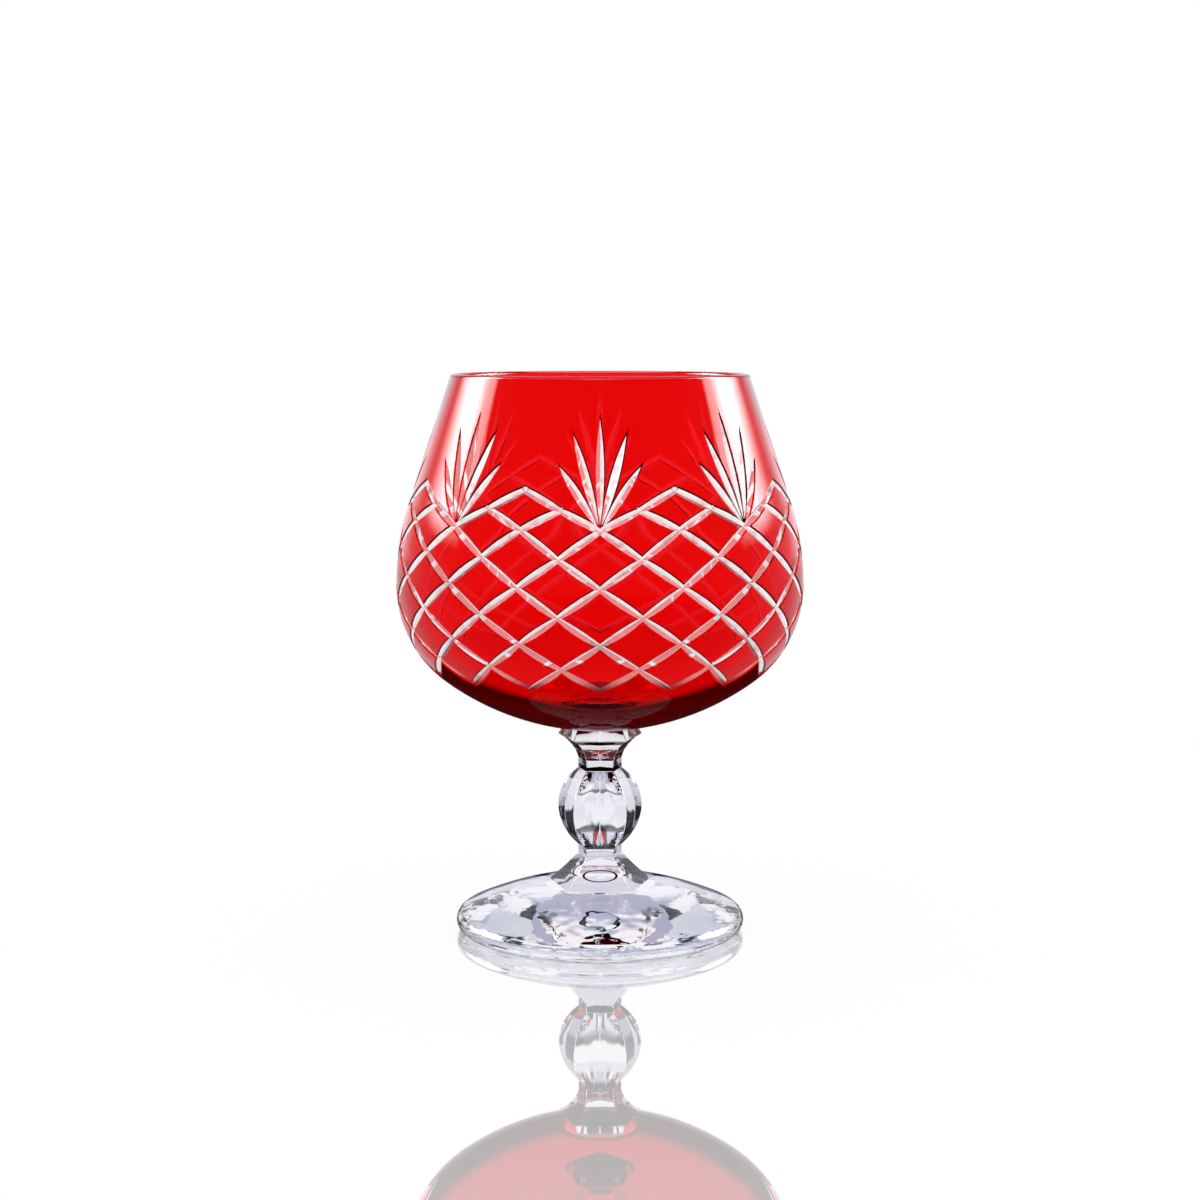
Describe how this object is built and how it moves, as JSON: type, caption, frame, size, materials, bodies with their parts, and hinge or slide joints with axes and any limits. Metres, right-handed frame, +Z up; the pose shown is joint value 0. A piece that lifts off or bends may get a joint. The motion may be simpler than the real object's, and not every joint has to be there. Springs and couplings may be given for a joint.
{
  "type": "brandy snifter",
  "caption": "Footed brandy glass with a wide round bowl narrowing to the rim; ruby casing cut through to clear in a diamond lattice and fans, on a clear panel-cut stem with a ball knop.",
  "frame": {"origin": "on the axis at the underside of the foot, where the glass stands", "axes": "+Z up along the glass's axis, from the foot to the rim; one fan and one stem panel face -Y"},
  "size_m": [0.092, 0.092, 0.127],
  "materials": {
    "clear_crystal": "polished colourless crystal",
    "ruby_glass": "polished transparent ruby casing"
  },
  "bodies": {
    "root": {"foot": "clear_crystal", "foot_collar": "clear_crystal", "knop": "clear_crystal", "bowl_collar": "clear_crystal", "clear_bowl": "clear_crystal", "ruby_band": "ruby_glass", "ruby_row_1": "ruby_glass", "ruby_row_2": "ruby_glass", "ruby_row_3": "ruby_glass", "ruby_row_4": "ruby_glass", "ruby_row_5": "ruby_glass", "ruby_row_6": "ruby_glass", "ruby_row_7": "ruby_glass", "ruby_base": "ruby_glass"}
  },
  "joints": []
}
